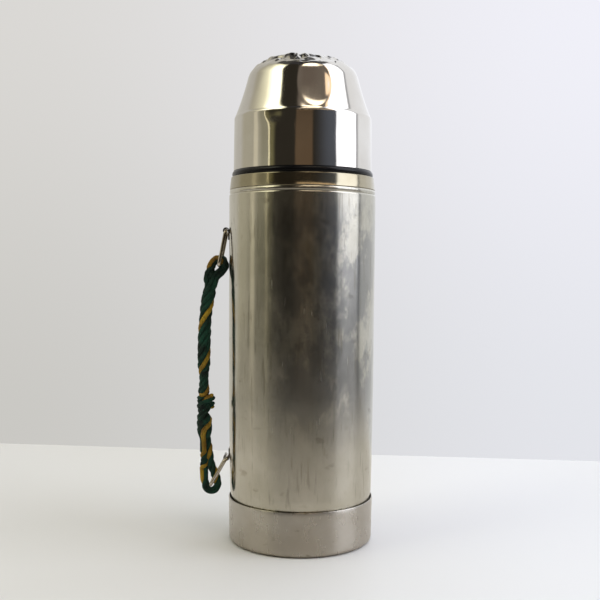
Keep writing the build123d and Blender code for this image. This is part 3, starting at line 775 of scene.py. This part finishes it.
def build_cord():
    controls, axis = cord_controls()
    points, length = resampled(spline_points("handle_line", controls), CORD_STEP * MM)
    frames = frames_along(points)
    halves = which_half(points)
    turns = strand_turns(points, frames, axis, halves)
    bm = bmesh.new()
    uv = bm.loops.layers.uv.new("strand")
    last = len(points) - 1
    for strand in range(3):
        middles = [strand_centre(p, f, t, strand, h, axis)
                   for p, f, t, h in zip(points, frames, turns, halves)]
        rings = []
        for i, (middle, strand_r, out) in enumerate(middles):
            ahead = (middles[min(i + 1, last)][0] - middles[max(i - 1, 0)][0]).normalized()
            out = (out - ahead * out.dot(ahead)).normalized()
            across = ahead.cross(out)
            from_end = min(i, last - i) * CORD_STEP / END_ROUND
            rounding = math.sqrt(max(0.02, 1 - max(0.0, 1 - from_end) ** 2))
            ring = []
            for k in range(STRAND_SEGMENTS):
                a = 2 * math.pi * k / STRAND_SEGMENTS
                yarn = math.cos(YARN_COUNT * a - 2 * math.pi * i * CORD_STEP / YARN_PITCH)
                rough = noise.noise(middle * 300 + Vector((strand * 5.1, a * 0.9, 0)))
                r = strand_r * (1 + 0.03 * yarn + 0.16 * rough) * rounding * MM
                ring.append(bm.verts.new(middle + out * r * math.cos(a) + across * r * math.sin(a)))
            rings.append(ring)
        for i, (low, high) in enumerate(zip(rings, rings[1:])):
            for k in range(STRAND_SEGMENTS):
                j = (k + 1) % STRAND_SEGMENTS
                face = bm.faces.new((low[k], low[j], high[j], high[k]))
                face.material_index = 1 if strand == 0 else 0
                wrap = ((i, k), (i, k + 1), (i + 1, k + 1), (i + 1, k))
                for loop, (along_step, around_step) in zip(face.loops, wrap):
                    loop[uv].uv = (along_step * CORD_STEP, around_step / STRAND_SEGMENTS)
        for cap in (rings[0], rings[-1]):
            face = bm.faces.new(cap)
            face.material_index = 1 if strand == 0 else 0
    cord = new_object("handle_cord", bm, [GREEN, MUSTARD], 80)
    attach(cord, "cord")
    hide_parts("cord_stem", "cord_upper_eye", "cord_lower_eye", "cord_ends")
    print("cord length", round(length * 1000, 1), "mm")


# ---------------------------------------------------------------- camera, light and stage
def build_camera():
    data = bpy.data.cameras.new("camera")
    data.sensor_width = SENSOR
    data.lens = LENS
    data.shift_x = SHIFT_X
    data.dof.use_dof = False
    camera = bpy.data.objects.new("camera", data)
    pitch, roll = math.radians(CAMERA_PITCH), math.radians(CAMERA_ROLL)
    turn = Matrix.Rotation(math.radians(90) - pitch, 4, "X") @ Matrix.Rotation(roll, 4, "Z")
    camera.matrix_world = Matrix.Translation(CAMERA_PLACE) @ turn
    bpy.context.scene.collection.objects.link(camera)
    bpy.context.scene.camera = camera


def build_floor():
    """A pale table top, painted lighter and cooler on the right where the window light falls. The metal sees
    it darker than the camera does, and darkest near the flask's foot: painted shadow in its reflections.
    """
    bm = bmesh.new()
    bm.faces.new([bm.verts.new(c) for c in TABLE_EDGE])
    material, tree = new_material("floor")
    coords = scaled_coords(tree, (1, 1, 1))
    place = node(tree, "ShaderNodeSeparateXYZ", {0: coords}).outputs
    # painted light: the table is lighter and cooler towards the right, where the window light falls; its left
    # has a random uneven tone
    left_colour = mix(tree, noise_value(tree, coords, 6, 3), (0.66, 0.665, 0.65), (0.645, 0.65, 0.635))
    colour = mix(tree, ramp(tree, place[0], -0.18, 0.22), left_colour, (0.76, 0.785, 0.835))
    reach = node(tree, "ShaderNodeVectorMath", {0: coords}, operation="LENGTH").outputs["Value"]
    # painted shadow: in what the metal reflects, the table darkens towards the camera and away from the flask
    far = math_node(tree, "MULTIPLY", ramp(tree, place[1], -0.72, 0.15, 0.0, 0.76),
                    ramp(tree, reach, 0.2, 0.85, 1.0, 0.25))
    far = math_node(tree, "MULTIPLY", far, ramp(tree, place[0], 0.06, 0.45, 1.0, 0.8))
    dim = mix(tree, far, (0.05, 0.045, 0.035), (0.85, 0.82, 0.77))
    reflected = node(tree, "ShaderNodeLightPath").outputs["Is Glossy Ray"]
    colour = mix(tree, reflected, colour, dim)
    shader = node(tree, "ShaderNodeBsdfPrincipled", {"Base Color": colour, "Roughness": 0.5,
                                                     "Specular IOR Level": 0.2})
    finish_material(tree, shader)
    floor = new_object("floor", bm, [material])


def window(tree, azimuth, elevation, around, up, edges, up_edges):
    """1 inside a patch of directions given in degrees, 0 outside, with soft edges of their own."""
    sides = math_node(tree, "MULTIPLY", ramp(tree, azimuth, around[0] - edges[0], around[0] + edges[0]),
                      ramp(tree, azimuth, around[1] - edges[1], around[1] + edges[1], 1.0, 0.0))
    ends = math_node(tree, "MULTIPLY", ramp(tree, elevation, up[0] - up_edges[0], up[0] + up_edges[0]),
                     ramp(tree, elevation, up[1] - up_edges[1], up[1] + up_edges[1], 1.0, 0.0))
    return math_node(tree, "MULTIPLY", sides, ends)


def build_world():
    """A room: dark behind the camera, a large window on the right, paler walls on the left and behind."""
    world = bpy.data.worlds.new("world")
    world.use_nodes = True
    tree = world.node_tree
    tree.nodes.clear()
    direction = node(tree, "ShaderNodeTexCoord").outputs["Generated"]
    xyz = node(tree, "ShaderNodeSeparateXYZ", {0: direction}).outputs
    azimuth = math_node(tree, "ARCTAN2", xyz[0], math_node(tree, "MULTIPLY", xyz[1], -1.0))
    azimuth = math_node(tree, "MULTIPLY", azimuth, 180 / math.pi)
    elevation = math_node(tree, "MULTIPLY", math_node(tree, "ARCSINE", xyz[2]), 180 / math.pi)
    colour = mix(tree, ramp(tree, azimuth, -62, -48), (0.36, 0.34, 0.25), (0.034, 0.029, 0.022))
    colour = mix(tree, ramp(tree, azimuth, -80, -68), (0.52, 0.49, 0.39), colour)
    low = ramp(tree, elevation, -2, 7)
    left = ramp(tree, azimuth, -100, -85)
    low_left = math_node(tree, "MULTIPLY", left, ramp(tree, azimuth, -50, -40, 1, 0))
    dim_left = math_node(tree, "MULTIPLY", low_left,
                         math_node(tree, "SUBTRACT", 1.0, low))
    colour = mix(tree, math_node(tree, "MULTIPLY", dim_left, 0.75), colour, (0.03, 0.025, 0.018))
    colour = mix(tree, ramp(tree, azimuth, 14, 50), colour, (0.105, 0.115, 0.14))
    behind = mix(tree, ramp(tree, elevation, 2, 9), (0.78, 0.79, 0.81), (1.1, 1.12, 1.18))
    colour = mix(tree, ramp(tree, azimuth, 98, 106), colour, behind)
    for around, up, edges, up_edges, tint, strength in ROOM_PATCHES:
        mask = window(tree, azimuth, elevation, around, up, edges, up_edges)
        colour = mix(tree, math_node(tree, "MULTIPLY", mask, strength), colour, tint)
    side = ramp(tree, xyz[0], -0.35, 0.35)
    side_low = mix(tree, side, (0.585, 0.575, 0.545), (0.775, 0.785, 0.83))
    side_high = mix(tree, side, (0.70, 0.685, 0.66), (0.88, 0.88, 0.95))
    backdrop = mix(tree, ramp(tree, elevation, -12, 17), side_low, side_high)
    seen = node(tree, "ShaderNodeLightPath").outputs["Is Camera Ray"]
    colour = mix(tree, seen, colour, backdrop)
    background = node(tree, "ShaderNodeBackground", {"Color": colour, "Strength": 1.0})
    out = node(tree, "ShaderNodeOutputWorld")
    tree.links.new(background.outputs[0], out.inputs["Surface"])
    bpy.context.scene.world = world


def area_light(name, where, target, size, power, colour):
    data = bpy.data.lights.new(name, "AREA")
    data.shape = "RECTANGLE"
    data.size, data.size_y = size
    data.energy = power
    data.color = colour
    light = bpy.data.objects.new(name, data)
    light.location = where
    light.rotation_euler = (Vector(target) - Vector(where)).to_track_quat("-Z", "Y").to_euler()
    light.visible_glossy = False
    light.visible_camera = False
    bpy.context.scene.collection.objects.link(light)


build_camera()
build_cord()
build_case()
build_collar()
build_neck()
build_cup()
build_base()
build_floor()
build_world()
area_light("overhead", (0.1, -0.1, 1.7), (0, 0, 0), (1.8, 1.8), 15.0, (1.0, 1.0, 1.02))
bpy.context.scene.view_settings.view_transform = "Standard"
